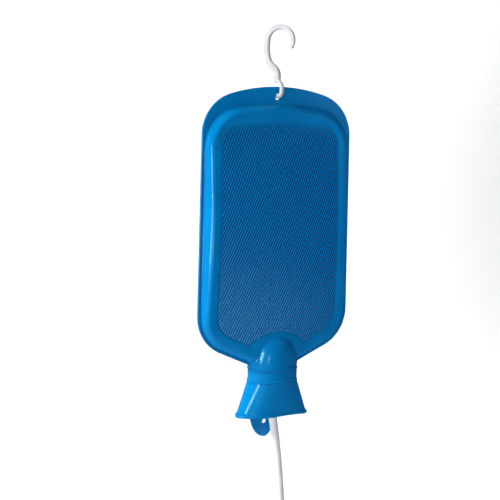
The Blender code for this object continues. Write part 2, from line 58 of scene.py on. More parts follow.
# The bag, as the part has it
TOP_ARCH_R = 190.0
TOP_CORNER_R = 44.5
TOP_HALF_WIDTH = 86.2
LOW_HALF_WIDTH = 88.1
LOW_CORNER_R = 43.7
LOW_CORNER_DEPTH = 237.2
SHOULDER_ANGLE = math.radians(24.5)
FLANGE_HALF = 1.5
SEAM_HALF = 0.15
WALL = 2.0
EDGE_HEIGHT = 7.5
SWELL = 5.8
CROWN = 3.6
SWELL_TOP = 30.0
SWELL_LENGTH = 250.0
RIB_HALF_WIDTH = 69.0
HANG_HOLE_R = 3.3
SWING_X = -1.9
SWING_Z = -67.5

# The bag's border and its ribs
FOOT_INSET = 3.2
FOOT_TOP = 17.9
CREST_INSET = 14.2
CREST_TOP = 28.6
FIELD_INSET = 19.0
FIELD_TOP = 37.6
FIELD_CORNER_R = 15.0
RIB_SLOPE = 1.0 / math.tan(math.radians(66.0))
RIB_PITCH = 2.9
RIB_HEIGHT = 1.0
RIB_SAMPLES = 7
NOTCH_DEPTH = 277.0
NOTCH_HALF = (32.5, 20.0)

# The neck and the funnel
FUNNEL_TILT = 0.025
FRONT_RISE = 2.0
NECK_HALF_WIDTH = 27.8
NECK_HALF_DEPTH = 20.0
BEAD = 0.8
BEAD_DEPTHS = (297.4, 310.1)
MOUTH_DEPTH = 349.0
MOUTH_HALF_WIDTH = 41.9
MOUTH_HALF_DEPTH = 17.0
FUNNEL_WALL = 2.4
TONGUE_X = -1.3
TONGUE_HALF_WIDTH = 18.5
TONGUE_END = 376.3
TONGUE_HOLE_DEPTH = 360.0
TONGUE_LEAN = 0.08
BUSH_R = 17.0
BUSH_TOP = 288.0
BUSH_END = 310.0
BUSH_SEAT_R = BUSH_R + 0.3
NECK_SEAM_DEPTH = 296.0
SKEW_HALF_WIDTH = 42.6

# The hose
HOSE_R = 4.5
HOSE_ROUTE = (
    (0.0, 0.0, 341.8),
    (0.3, 0.0, 346.0),
    (1.0, 0.0, 350.0),
    (2.2, 0.0, 355.4),
    (4.6, -0.2, 370.0),
    (6.6, -0.7, 385.0),
    (8.3, -1.4, 400.7),
    (10.1, -2.6, 423.0),
    (11.5, -3.7, 443.0),
    (12.4, -4.4, 457.7),
)
FOLD_R = 27.0
WAIST_R = 10.0
HANK_X = 12.5
HANK_TOP = 458.0
HANK_RUN = 187.0
LAYER = 9.0
TAIL_X = 8.0
TAIL_Y = 17.9
TAIL_DROP = 24.0
CUFF_MOUTH = 322.3
CUFF_END = 341.5
END_CUFF_MOUTH = 0.3
END_CUFF_END = 16.3
TAP_BELOW_TAIL = 16.6


# ---------------------------------------------------------------- scene, camera and light


def add(obj):
    bpy.context.scene.collection.objects.link(obj)
    return obj


def make_camera():
    data = bpy.data.cameras.new("camera")
    data.lens = CAM_LENS
    data.sensor_width = 36.0
    camera = add(bpy.data.objects.new("camera", data))
    back = Vector((
        math.sin(CAM_AZIMUTH) * math.cos(CAM_DOWN),
        -math.cos(CAM_AZIMUTH) * math.cos(CAM_DOWN),
        math.sin(CAM_DOWN),
    ))
    camera.rotation_mode = "QUATERNION"
    camera.location = CAM_TARGET + back * CAM_DISTANCE
    roll = Matrix.Rotation(CAM_ROLL, 3, "Z").to_quaternion()
    camera.rotation_quaternion = (-back).to_track_quat("-Z", "Y") @ roll
    data.clip_start = 0.05
    data.clip_end = 30.0
    bpy.context.scene.camera = camera


def area_light(name, place, aim, size, watts, color=(1.0, 1.0, 1.0)):
    data = bpy.data.lights.new(name, "AREA")
    data.shape = "RECTANGLE"
    data.size, data.size_y = size
    data.energy = watts
    data.color = color
    light = add(bpy.data.objects.new(name, data))
    light.location = place
    light.rotation_mode = "QUATERNION"
    light.rotation_quaternion = (Vector(aim) - Vector(place)).to_track_quat("-Z", "Y")
    return light


def mesh_object(name, points, faces, material, smooth_angle=None):
    """A mesh from points in millimetres and faces, smooth shaded."""
    mesh = bpy.data.meshes.new(name)
    mesh.from_pydata((np.asarray(points, float) * MM).tolist(), [], faces)
    mesh.validate()
    mesh.update()
    mesh.shade_smooth()
    if smooth_angle is not None:
        mesh.set_sharp_from_angle(angle=math.radians(smooth_angle))
    mesh.materials.append(material)
    return add(bpy.data.objects.new(name, mesh))


def make_stage():
    """A pale floor that sweeps up behind the bag."""
    floor_z, back_y, bend = -1000.0, 2600.0, 900.0
    profile = [(-4000.0, floor_z)]
    for i in range(17):
        turn = math.pi / 2 * i / 16
        profile.append((back_y - bend + bend * math.sin(turn), floor_z + bend * (1 - math.cos(turn))))
    profile.append((back_y, 4500.0))
    points = [(x, y, z) for y, z in profile for x in (-5000.0, 5000.0)]
    faces = [(2 * i, 2 * i + 1, 2 * i + 3, 2 * i + 2) for i in range(len(profile) - 1)]
    paper = bpy.data.materials.new("stage_paper")
    paper.use_nodes = True
    shader = paper.node_tree.nodes["Principled BSDF"]
    shader.inputs["Base Color"].default_value = (0.94, 0.94, 0.94, 1.0)
    shader.inputs["Roughness"].default_value = 0.9
    backdrop = mesh_object("backdrop", points, faces, paper)
    backdrop.visible_glossy = False
    world = bpy.data.worlds.new("studio")
    bpy.context.scene.world = world
    world.use_nodes = True
    world.node_tree.nodes["Background"].inputs["Color"].default_value = (0.62, 0.74, 1.0, 1.0)
    world.node_tree.nodes["Background"].inputs["Strength"].default_value = 0.07
    bpy.context.scene.view_settings.view_transform = "Standard"
    soft_white, cool_white = (0.96, 1.0, 0.85), (1.0, 1.0, 1.0)
    for name, height, turn, rise, reach, size, watts, mirrored, color in (
        ("left_key", -0.25, -66.0, 32.0, 1.8, (0.4, 0.5), 37.0, False, soft_white),
        ("left_strip", -0.25, -25.0, 2.0, 1.6, (0.07, 0.45), 6.5, True, cool_white),
        ("left_spot", -0.25, -46.0, -6.0, 1.6, (0.1, 0.1), 2.4, True, cool_white),
        ("front_box", -0.25, 6.0, -6.0, 2.2, (0.08, 0.16), 1.9, True, cool_white),
        ("right_lamp", -0.12, 64.0, 12.0, 0.5, (0.1, 0.3), 0.4, False, cool_white),
        ("top_box", -0.25, 0.0, 60.0, 1.7, (0.8, 0.5), 1.6, False, cool_white),
    ):
        studio_light(name, height, turn, rise, reach, size, watts, mirrored, color)
    for side in (-1, 1):
        backdrop_light = (side * 1.7, 0.9, 1.2), (side * 0.5, 2.6, -0.2)
        area_light("backdrop_lamp", *backdrop_light, (1.6, 1.6), 46.0).visible_glossy = False


def studio_light(name, height, turn, rise, reach, size, watts, mirrored, color):
    """A lamp aimed at a height on the bag, placed by its angle round from the camera and its rise."""
    azimuth, up = CAM_AZIMUTH + math.radians(turn), math.radians(rise)
    aim = Vector((0.0, 0.0, height))
    away = Vector((math.sin(azimuth) * math.cos(up), -math.cos(azimuth) * math.cos(up), math.sin(up)))
    area_light(name, aim + away * reach, aim, size, watts, color).visible_glossy = mirrored


# ---------------------------------------------------------------- materials


class Nodes:
    """Short names for building a material's nodes."""

    def __init__(self, name):
        self.material = bpy.data.materials.new(name)
        self.material.use_nodes = True
        self.tree = self.material.node_tree
        self.shader = self.tree.nodes["Principled BSDF"]

    def add(self, kind, **values):
        node = self.tree.nodes.new(kind)
        for name, value in values.items():
            if hasattr(node, name):
                setattr(node, name, value)
            else:
                node.inputs[name.replace("_", " ")].default_value = value
        return node

    def link(self, start, end):
        self.tree.links.new(start, end)

    def place(self):
        return self.add("ShaderNodeTexCoord").outputs["Object"]

    def noise(self, scale, detail=3.0, rough=0.5):
        node = self.add("ShaderNodeTexNoise")
        node.inputs["Scale"].default_value = scale
        node.inputs["Detail"].default_value = detail
        node.inputs["Roughness"].default_value = rough
        self.link(self.place(), node.inputs["Vector"])
        return node.outputs["Fac"]

    def ramp(self, value, stops):
        node = self.add("ShaderNodeValToRGB")
        elements = node.color_ramp.elements
        while len(elements) < len(stops):
            elements.new(0.5)
        for element, (where, color) in zip(elements, stops):
            element.position = where
            element.color = (*color, 1.0)
        self.link(value, node.inputs["Fac"])
        return node.outputs["Color"]

    def span(self, value, low, high):
        node = self.add("ShaderNodeMapRange")
        node.inputs["To Min"].default_value = low
        node.inputs["To Max"].default_value = high
        self.link(value, node.inputs["Value"])
        return node.outputs["Result"]

    def attribute(self, name):
        return self.add("ShaderNodeAttribute", attribute_name=name).outputs["Fac"]

    def mix(self, share, start, end):
        """From a linked colour to a plain one."""
        node = self.add("ShaderNodeMix", data_type="RGBA", blend_type="MIX")
        node.inputs["B"].default_value = (*end, 1.0)
        self.link(share, node.inputs["Factor"])
        self.link(start, node.inputs["A"])
        return node.outputs["Result"]

    def bump(self, value, distance, before=None):
        node = self.add("ShaderNodeBump")
        node.inputs["Distance"].default_value = distance
        self.link(value, node.inputs["Height"])
        if before is not None:
            self.link(before, node.inputs["Normal"])
        return node.outputs["Normal"]

    def set(self, **values):
        for name, value in values.items():
            self.shader.inputs[name.replace("_", " ")].default_value = value


def rubber(name):
    """Moulded blue rubber: a satin skin with cloudy tone and a fine grain, with painted highlight on the rib
    tops and painted shade in the grooves and creases.
    """
    n = Nodes(name)
    cloud = n.noise(28.0, 4.0)
    color = n.ramp(cloud, ((0.3, (0.0, 0.185, 0.515)), (0.7, (0.0, 0.215, 0.575))))
    # Rib tops are painted a lighter blue: painted highlight where light catches the ribs.
    color = n.mix(n.attribute("rib"), color, (0.0, 0.32, 0.8))
    # Grooves between the ribs are painted a dark blue: painted shade.
    color = n.mix(n.attribute("groove_shade_mask"), color, (0.0, 0.025, 0.18))
    # Where the surface is hollow or creased (low pointiness) it is painted a darker blue: painted shade.
    edge = n.add("ShaderNodeMapRange")
    edge.inputs["From Min"].default_value = 0.42
    edge.inputs["From Max"].default_value = 0.5
    n.link(n.add("ShaderNodeNewGeometry").outputs["Pointiness"], edge.inputs["Value"])
    shade = n.add("ShaderNodeMix", data_type="RGBA", blend_type="MIX")
    shade.inputs["A"].default_value = (0.0, 0.1, 0.36, 1.0)
    n.link(edge.outputs["Result"], shade.inputs["Factor"])
    n.link(color, shade.inputs["B"])
    n.link(shade.outputs["Result"], n.shader.inputs["Base Color"])
    gloss = n.add("ShaderNodeMath", operation="MULTIPLY_ADD")
    both = n.add("ShaderNodeMath", operation="ADD")
    n.link(n.attribute("groove_shade_mask"), both.inputs[0])
    n.link(n.attribute("rib"), both.inputs[1])
    n.link(both.outputs["Value"], gloss.inputs[0])
    gloss.inputs[1].default_value = 0.12
    n.link(n.span(n.noise(90.0, 4.0), 0.14, 0.24), gloss.inputs[2])
    n.link(gloss.outputs["Value"], n.shader.inputs["Roughness"])
    grain = n.bump(n.noise(1400.0, 2.0), 0.00001)
    n.link(n.bump(n.noise(160.0, 2.0), 0.00006, grain), n.shader.inputs["Normal"])
    n.set(IOR=1.5, Specular_IOR_Level=0.5, Specular_Tint=(0.5, 0.85, 1.0, 1.0))
    return n.material


def plastic(name, low, high, rough, grain, subsurface=0.0):
    """Moulded plastic: slightly uneven tone and gloss, with a shallow flow texture."""
    n = Nodes(name)
    color = n.ramp(n.noise(60.0, 3.0), ((0.3, low), (0.7, high)))
    n.link(color, n.shader.inputs["Base Color"])
    n.link(n.span(n.noise(150.0, 3.0), rough - 0.06, rough + 0.06), n.shader.inputs["Roughness"])
    n.link(n.bump(n.noise(500.0, 2.0), grain), n.shader.inputs["Normal"])
    if subsurface:
        n.set(Subsurface_Weight=subsurface, Subsurface_Scale=0.004)
        n.shader.inputs["Subsurface Radius"].default_value = (1.0, 0.8, 0.9)
    return n.material


# ---------------------------------------------------------------- mesh helpers


def solid_object(name, points, faces, material, smooth_angle=None):
    """A closed mesh object with its faces turned outwards."""
    obj = mesh_object(name, points, faces, material, smooth_angle)
    face_out(obj)
    return obj


def ring_faces(rings, size):
    """Quads between closed rings of points, the last ring joined to the first."""
    index = np.arange(rings * size).reshape(rings, size)
    ring = np.concatenate([index, index[:1]])
    faces = []
    for a, b in zip(ring, ring[1:]):
        faces += np.stack([a, np.roll(a, -1), np.roll(b, -1), b], 1).tolist()
    return faces


def capped_faces(rings, size):
    """Quads between closed rings of points, with a cap on the first and on the last."""
    last = (rings - 1) * size
    caps = [list(range(size))[::-1], list(range(last, last + size))]
    return grid_faces(rings, size, closed=True) + caps


def grid_faces(rows, columns, closed=False, start=0, flip=False):
    """Quads over rows x columns points; closed joins the last column to the first."""
    index = np.arange(rows * columns).reshape(rows, columns) + start
    left = index if closed else index[:, :-1]
    right = np.roll(index, -1, axis=1) if closed else index[:, 1:]
    quads = np.stack([left[:-1], right[:-1], right[1:], left[1:]], axis=-1).reshape(-1, 4)
    return (quads[:, ::-1] if flip else quads).tolist()


def smooth_path(points, step):
    """Points about step apart on a smooth curve through the given ones."""
    knots = [np.array(p, float) for p in points]
    knots = [2 * knots[0] - knots[1], *knots, 2 * knots[-1] - knots[-2]]
    path = []
    for a, b, c, d in zip(knots, knots[1:], knots[2:], knots[3:]):
        parts = max(1, round(float(np.linalg.norm(c - b)) / step))
        for i in range(parts):
            t = i / parts
            bend = (c - a) * t + (2 * a - 5 * b + 4 * c - d) * t**2
            path.append(b + 0.5 * (bend + (3 * b - a - 3 * c + d) * t**3))
    path.append(knots[-2])
    return np.array(path)


def even(path, step):
    """The path resampled to equal steps."""
    run = np.concatenate([[0.0], np.cumsum(np.linalg.norm(np.diff(path, axis=0), axis=1))])
    marks = np.linspace(0.0, run[-1], max(2, round(run[-1] / step)) + 1)
    return np.stack([np.interp(marks, run, path[:, k]) for k in range(3)], axis=1)


def frames_along(path, first):
    """Tangents and two normals at each point, carried along without twist from the first normal."""
    tangents = np.gradient(path, axis=0)
    tangents /= np.linalg.norm(tangents, axis=1, keepdims=True)
    normal = np.array(first, float)
    sides = []
    for tangent in tangents:
        normal = normal - tangent * normal.dot(tangent)
        normal /= np.linalg.norm(normal)
        sides.append(normal.copy())
    sides = np.array(sides)
    return tangents, sides, np.cross(tangents, sides)


def sweep(name, path, widths, depths, material, sides=20, square=2.0, first=(0, 1, 0)):
    """A solid along the path: widths and depths are its half sizes, and square over 2 makes it boxy."""
    path = np.asarray(path, float)
    _, normals, across = frames_along(path, first)
    turn = np.arange(sides) * TAU / sides
    power = 2.0 / square
    ring_x = np.sign(np.cos(turn)) * np.abs(np.cos(turn)) ** power
    ring_y = np.sign(np.sin(turn)) * np.abs(np.sin(turn)) ** power
    widths = np.broadcast_to(np.asarray(widths, float), (len(path),))
    depths = np.broadcast_to(np.asarray(depths, float), (len(path),))
    points = (
        path[:, None, :]
        + across[:, None, :] * (widths[:, None] * ring_x[None, :])[:, :, None]
        + normals[:, None, :] * (depths[:, None] * ring_y[None, :])[:, :, None]
    )
    return solid_object(name, points.reshape(-1, 3), capped_faces(len(path), sides), material, 50)


def rounded(rows, radius=0.35, parts=3):
    """A closed section of (radius, height) rows with its corners rounded."""
    out = []
    count = len(rows)
    for i in range(count):
        before, here, after = (np.array(rows[k % count], float) for k in (i - 1, i, i + 1))
        back, ahead = before - here, after - here
        sizes = np.linalg.norm(back), np.linalg.norm(ahead)
        if min(sizes) < 1e-6:
            continue
        start = here + back / sizes[0] * min(radius, 0.45 * sizes[0])
        end = here + ahead / sizes[1] * min(radius, 0.45 * sizes[1])
        for k in range(parts + 1):
            t = k / parts
            out.append(tuple((1 - t) ** 2 * start + 2 * t * (1 - t) * here + t**2 * end))
    return out


def lathe(name, rows, material, place, segments=64):
    """A turned ring-shaped solid; a row's radius may be a function of the angles."""
    turn = np.arange(segments) * TAU / segments
    points = []
    for radius, z in rows:
        reach = radius(turn) if callable(radius) else np.full(segments, float(radius))
        points.append(np.stack([reach * np.cos(turn), reach * np.sin(turn), np.full(segments, z)], 1))
    points = np.concatenate(points) + np.array(place, float)
    return solid_object(name, points, ring_faces(len(rows), segments), material, 40)


def face_out(obj):
    """Turns a closed mesh's faces outwards."""
    bm = bmesh.new()
    bm.from_mesh(obj.data)
    bmesh.ops.recalc_face_normals(bm, faces=bm.faces)
    bm.to_mesh(obj.data)
    bm.free()


def cut(obj, tool, operation="DIFFERENCE"):
    """A Boolean, applied, after which the tool is removed."""
    step = obj.modifiers.new("cut", "BOOLEAN")
    step.operation = operation
    step.solver = "EXACT"
    step.object = tool
    graph = bpy.context.evaluated_depsgraph_get()
    made = bpy.data.meshes.new_from_object(obj.evaluated_get(graph))
    obj.modifiers.clear()
    old = obj.data
    obj.data = made
    bpy.data.meshes.remove(old)
    bpy.data.objects.remove(tool, do_unlink=True)


def rod(name, radius, start, end, count=48):
    """A plain cylinder in millimetres, as a cutting tool."""
    path = np.linspace(np.array(start, float), np.array(end, float), 2)
    first = (0, 0, 1) if abs(path[1][2] - path[0][2]) < 1e-6 else (0, 1, 0)
    return sweep(name, path, radius, radius, bpy.data.materials[0], count, first=first)


def block(name, low, high):
    """A plain box in millimetres, as a cutting tool."""
    corners = [(x, y, z) for x in (low[0], high[0]) for y in (low[1], high[1]) for z in (low[2], high[2])]
    faces = [(0, 1, 3, 2), (4, 6, 7, 5), (0, 4, 5, 1), (2, 3, 7, 6), (0, 2, 6, 4), (1, 5, 7, 3)]
    return solid_object(name, corners, faces, bpy.data.materials[0])


def belongs(obj, body, slot, *nodes):
    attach(obj, body)
    if nodes:
        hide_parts(*nodes)
    return obj


# ---------------------------------------------------------------- the bag's panels

OUTLINE_STOPS = (0.0, 0.17, 0.29, 0.69, 0.82, 1.0)


def outline(t, inset, top_depth, arch_r=None, corner_r=None):
    """x and depth at t, from 0 at the top centre, down the right side to 0.5 at the bottom and back."""
    t = np.asarray(t, float) % 1.0
    side = np.where(t <= 0.5, 1.0, -1.0)
    share = np.where(t <= 0.5, 2.0 * t, 2.0 * (1.0 - t))
    arch_r = arch_r or (TOP_ARCH_R if top_depth < 10 else 2 * TOP_ARCH_R)
    half = TOP_HALF_WIDTH - inset
    corner_r = corner_r or max(TOP_CORNER_R - inset, 4.0)
    arch_center = top_depth + arch_r
    corner_x = half - corner_r
    corner_depth = arch_center - math.sqrt((arch_r - corner_r) ** 2 - corner_x**2)
    turn = math.asin(corner_x / (arch_r - corner_r))
    low_x = LOW_HALF_WIDTH - LOW_CORNER_R
    low_r = LOW_CORNER_R - inset
    low_end = math.pi - SHOULDER_ANGLE
    end_x = low_x + low_r * math.sin(low_end)
    end_depth = LOW_CORNER_DEPTH - low_r * math.cos(low_end)
    local = [
        np.clip((share - a) / (b - a), 0.0, 1.0) for a, b in zip(OUTLINE_STOPS, OUTLINE_STOPS[1:])
    ]
    stretches = [share < stop for stop in OUTLINE_STOPS[1:5]]
    x = np.select(
        stretches,
        [
            arch_r * np.sin(turn * local[0]),
            corner_x + corner_r * np.sin(turn + (math.pi / 2 - turn) * local[1]),
            half + (low_x + low_r - half) * local[2],
            low_x + low_r * np.sin(math.pi / 2 + (low_end - math.pi / 2) * local[3]),
        ],
        end_x * (1 - local[4]),
    )
    depth = np.select(
        stretches,
        [
            arch_center - arch_r * np.cos(turn * local[0]),
            corner_depth - corner_r * np.cos(turn + (math.pi / 2 - turn) * local[1]),
            corner_depth + (LOW_CORNER_DEPTH - corner_depth) * local[2],
            LOW_CORNER_DEPTH - low_r * np.cos(math.pi / 2 + (low_end - math.pi / 2) * local[3]),
        ],
        end_depth + end_x * local[4] * math.tan(SHOULDER_ANGLE),
    )
    return side * x, depth


def panel_height(x, depth):
    """How far the panel stands off the seam plane, before its border is rounded off."""
    along = np.clip((depth - SWELL_TOP) / SWELL_LENGTH, 0.0, 1.0)
    across = np.clip(1.0 - (x / RIB_HALF_WIDTH) ** 2, 0.0, 1.0)
    crown = CROWN * across * np.clip((depth - 38.0) / 60.0, 0.0, 1.0)
    return EDGE_HEIGHT + SWELL * np.sin(np.pi * along) ** 1.5 + crown


def crest_height(x, depth):
    return FLANGE_HALF + 1.08 * (panel_height(x, depth) - FLANGE_HALF)


def smoothstep(value, low, high):
    t = np.clip((value - low) / (high - low), 0.0, 1.0)
    return t * t * (3.0 - 2.0 * t)


def distance_inside(x, depth, loop_x, loop_depth):
    """Distance to a loop, positive inside it."""
    ax, ad = loop_x, loop_depth
    bx, bd = np.roll(loop_x, -1), np.roll(loop_depth, -1)
    ex, ed = bx - ax, bd - ad
    size = ex**2 + ed**2
    best = np.full(x.shape, 1e9)
    inside = np.zeros(x.shape, bool)
    for k in range(len(ax)):
        px, pd = x - ax[k], depth - ad[k]
        t = np.clip((px * ex[k] + pd * ed[k]) / size[k], 0.0, 1.0)
        best = np.minimum(best, (px - t * ex[k]) ** 2 + (pd - t * ed[k]) ** 2)
        crosses = (ad[k] > depth) != (bd[k] > depth)
        if abs(ed[k]) > 1e-12:
            inside ^= crosses & (x < ax[k] + ex[k] * (depth - ad[k]) / ed[k])
    return np.sqrt(best) * np.where(inside, 1.0, -1.0)


def notch_distance(x, depth):
    """Distance outside the smooth arch round the dome, near enough."""
    reach = np.hypot(x / NOTCH_HALF[0], (depth - NOTCH_DEPTH) / NOTCH_HALF[1])
    return (reach - 1.0) * min(NOTCH_HALF)


def topness(depth):
    """1 along the bag's top border, which is moulded softer than the rest, and 0 from its corners down."""
    return 1.0 - smoothstep(depth, 40.0, 62.0)


def ribs(x, depth):
    """How far inside the sunk field a point is, and the height there of the ribs' wave, to 1."""
    field = outline(np.linspace(0.0, 1.0, 240, endpoint=False), FIELD_INSET, FIELD_TOP,
                    corner_r=FIELD_CORNER_R)
    inside = np.minimum(distance_inside(x, depth, *field), notch_distance(x, depth))
    phase = (x + depth * RIB_SLOPE) / RIB_PITCH
    return inside, (0.5 + 0.5 * np.cos(TAU * phase)) ** 1.8


def surface_height(x, depth):
    """The outer face of a panel inside its crest: the sunk field and its slanting ribs."""
    inside, wave = ribs(x, depth)
    soft = topness(depth)
    sunk = smoothstep(inside, -2.6 - 5.4 * soft, 1.4)
    ribbed = smoothstep(inside, -0.2, 1.5 + 2.5 * soft)
    base = crest_height(x, depth)
    recess = 0.75 + 0.05 * (base - FLANGE_HALF) + 0.7 * soft
    return base - recess * sunk + RIB_HEIGHT * wave * ribbed


def branches(t_count, inset, top_depth, corner_r=None):
    """u along a rib's family of lines for the two sides of a loop, with their t, both rising in u."""
    t = np.linspace(0.0, 1.0, t_count, endpoint=False)
    x, depth = outline(t, inset, top_depth, corner_r=corner_r)
    u = x + depth * RIB_SLOPE
    low, high = int(np.argmin(u)), int(np.argmax(u))
    upper = np.arange(low, high + (t_count if high < low else 0) + 1)
    lower = np.arange(high, low + (t_count if low < high else 0) + 1)[::-1]
    return [(u[k % t_count], k / t_count) for k in (upper, lower)]


def rib_columns():
    """For each line along the ribs: u, and t on the crest's loop at its upper and lower ends."""
    (up_u, up_t), (low_u, low_t) = branches(24000, CREST_INSET, CREST_TOP)
    step = RIB_PITCH / RIB_SAMPLES
    first, last = up_u[0] + 0.06, up_u[-1] - 0.06
    u = np.arange(math.ceil(first / step), math.floor(last / step) + 1) * step
    u = np.concatenate([[first], u, [last]])
    return u, np.interp(u, up_u, up_t), np.interp(u, low_u, low_t)


def column_depths(u, top, bottom):
    """Depths down each column: close together where ribs start and end, wide between."""
    (up_u, up_t), (low_u, low_t) = branches(8000, FIELD_INSET, FIELD_TOP, FIELD_CORNER_R)
    starts = outline(np.interp(u, up_u, up_t), FIELD_INSET, FIELD_TOP, corner_r=FIELD_CORNER_R)[1]
    ends = outline(np.interp(u, low_u, low_t), FIELD_INSET, FIELD_TOP, corner_r=FIELD_CORNER_R)[1]
    a = (RIB_SLOPE / NOTCH_HALF[0]) ** 2 + 1.0 / NOTCH_HALF[1] ** 2
    b = -2 * u * RIB_SLOPE / NOTCH_HALF[0] ** 2 - 2 * NOTCH_DEPTH / NOTCH_HALF[1] ** 2
    c = (u / NOTCH_HALF[0]) ** 2 + (NOTCH_DEPTH / NOTCH_HALF[1]) ** 2 - 1.0
    under = b**2 - 4 * a * c
    enters = np.where(under > 0, (-b - np.sqrt(np.maximum(under, 0.0))) / (2 * a), 1e9)
    outside = (u <= up_u[0]) | (u >= up_u[-1])
    middle = (top + bottom) / 2
    starts = np.where(outside, middle, np.clip(starts, top, bottom))
    ends = np.where(outside, middle, np.clip(np.minimum(ends, enters), top, bottom))
    ends = np.maximum(starts, ends)
    edge = np.minimum(4.5, 0.3 * (ends - starts))
    rows = [top + (starts - top) * k / 3 for k in range(3)]
    rows += [starts + edge * k for k in (0.0, 0.18, 0.38, 0.62, 1.0)]
    rows += [starts + edge + (ends - starts - 2 * edge) * k / 34 for k in range(1, 34)]
    rows += [ends - edge * k for k in (1.0, 0.62, 0.38, 0.18, 0.0)]
    rows += [ends + (bottom - ends) * k / 9 for k in range(1, 10)]
    return np.array(rows)


def border_rings(t):
    """The crest, the wall, the flange, the seam and the hollow, from the crest outwards and back."""
    rings = []
    for k in range(1, 15):
        share = k / 14
        inset = CREST_INSET + (FOOT_INSET - CREST_INSET) * share**0.8
        top = FOOT_TOP + (CREST_TOP - FOOT_TOP) * (inset - FOOT_INSET) / (CREST_INSET - FOOT_INSET)
        x, depth = outline(t, inset, top)
        climb = (inset - FOOT_INSET) / (CREST_INSET - FOOT_INSET)
        soft = 0.75 * topness(depth)
        rise = (1.0 - soft) * (1.0 - (1.0 - climb) ** 3.6) + soft * smoothstep(climb, 0.0, 0.85)
        rings.append((x, FLANGE_HALF + rise * (crest_height(x, depth) - FLANGE_HALF), depth))
    flat = (
        (2.95, 17.3, 0.0), (1.8, 9.5, 0.0), (0.7, 0.7, 0.0), (0.32, 0.32, -0.06),
        (0.08, 0.08, -0.28), (0.0, 0.0, -0.6), (0.06, 0.06, -1.0), (0.3, 0.3, -1.25),
        (0.6, 0.6, SEAM_HALF - FLANGE_HALF), (3.4, 18.1, SEAM_HALF - FLANGE_HALF),
        (6.4, 21.0, SEAM_HALF - FLANGE_HALF),
    )
    for inset, top, rise in flat:
        x, depth = outline(t, inset, top)
        rings.append((x, np.full(x.shape, FLANGE_HALF + rise), depth))
    for inset, top, share in ((7.2, 21.8, 0.5), (9.2, 23.8, 0.85), (11.6, 26.0, 0.97)):
        x, depth = outline(t, inset, top)
        rings.append((x, share * (panel_height(x, depth) - WALL), depth))
    return rings


def panel_mesh():
    """Points as x, height off the seam plane and depth, and faces, of one closed half of the bag."""
    u, up_t, low_t = rib_columns()
    top = outline(up_t, CREST_INSET, CREST_TOP)[1]
    bottom = outline(low_t, CREST_INSET, CREST_TOP)[1]
    depths = column_depths(u, top, bottom)
    rows, columns = depths.shape
    x = u[None, :] - depths * RIB_SLOPE
    height = surface_height(x.ravel(), depths.ravel()).reshape(rows, columns)
    points = [np.stack([x.ravel(), height.ravel(), depths.ravel()], 1)]
    faces = grid_faces(rows, columns)
    index = np.arange(rows * columns).reshape(rows, columns)
    loop = np.concatenate([index[0], index[1:-1, -1], index[-1, ::-1], index[-2:0:-1, 0]])
    t_ends = np.concatenate([up_t, np.full(rows - 2, np.nan), low_t[::-1], np.full(rows - 2, np.nan)])
    t_loop = fill_gaps(t_ends)
    start = rows * columns
    ring_before = loop
    for ring in border_rings(t_loop):
        points.append(np.stack(ring, 1))
        here = np.arange(start, start + len(loop))
        quads = np.stack([ring_before, here, np.roll(here, -1), np.roll(ring_before, -1)], 1)
        faces += quads.tolist()
        ring_before, start = here, start + len(loop)
    inner_rows = [0, rows // 5, 2 * rows // 5, 3 * rows // 5, 4 * rows // 5, rows - 1]
    inner_depths = depths[inner_rows]
    inner_x = u[None, :] - inner_depths * RIB_SLOPE
    inner_heights = panel_height(inner_x, inner_depths) - WALL
    points.append(np.stack([inner_x.ravel(), inner_heights.ravel(), inner_depths.ravel()], 1))
    count = len(inner_rows)
    cap_index = np.arange(start, start + count * columns).reshape(count, columns)
    faces += grid_faces(count, columns, start=start, flip=True)
    return points, faces, ring_before, cap_index, (rows, columns)


def fill_gaps(values):
    """Fills the short runs between the two ends of the first and the last column."""
    out = values.copy()
    marks = np.flatnonzero(~np.isnan(values))
    count = len(values)
    for a, b in zip(marks, np.roll(marks, -1)):
        gap = (b - a) % count
        if gap > 1:
            low, high = values[a], values[b]
            while high - low < -0.5:
                high += 1.0
            while high - low > 0.5:
                high -= 1.0
            for k in range(1, gap):
                out[(a + k) % count] = low + (high - low) * k / gap
    return out


def paint_rib_light_and_shade(obj, side):
    """Stores where each point lies between and on the ribs, for the rubber's painted shade in the grooves and
    painted highlight on the rib tops.
    """
    mesh = obj.data
    points = np.empty(len(mesh.vertices) * 3, np.float32)
    mesh.vertices.foreach_get("co", points)
    points = points.reshape(-1, 3) / MM
    inside, wave = ribs(points[:, 0] * -side, TAB_TOP_Z - points[:, 2])
    ribbed = smoothstep(inside, -1.0, 2.0 + 4.0 * topness(TAB_TOP_Z - points[:, 2]))
    # The groove value paints shade between the ribs, and the rib value paints highlight on their tops.
    for name, value in (("groove_shade_mask", ribbed * (1.0 - wave) ** 1.5), ("rib", ribbed * wave)):
        store = mesh.attributes.new(name, "FLOAT", "POINT")
        store.data.foreach_set("value", value.astype(np.float32))


def bag_half(name, side, material):
    points, faces, last_ring, cap_index, (rows, columns) = panel_mesh()
    # The cap has fewer rows than the ring has points at its two short ends, so those are fanned.
    ring = list(last_ring)
    top_ring, bottom_cap = ring[:columns], cap_index[-1][::-1]
    right_ring = ring[columns - 1:columns + rows - 1]
    bottom_ring = ring[columns + rows - 2:2 * columns + rows - 2]
    left_ring = ring[2 * columns + rows - 3:] + ring[:1]
    for edge, cap in ((top_ring, cap_index[0]), (bottom_ring, bottom_cap)):
        faces += [[a, b, d, c] for a, b, c, d in zip(edge, cap, edge[1:], cap[1:])]
    faces.append(right_ring + [int(k) for k in cap_index[::-1, -1]])
    faces.append(left_ring + [int(k) for k in cap_index[:, 0]])
    faces = [[int(k) for k in face] for face in faces]
    points = np.concatenate(points)
    placed = np.stack([points[:, 0] * -side, points[:, 1] * side, TAB_TOP_Z - points[:, 2]], 1)
    return solid_object(name, placed, faces, material)


# ---------------------------------------------------------------- neck, dome and funnel


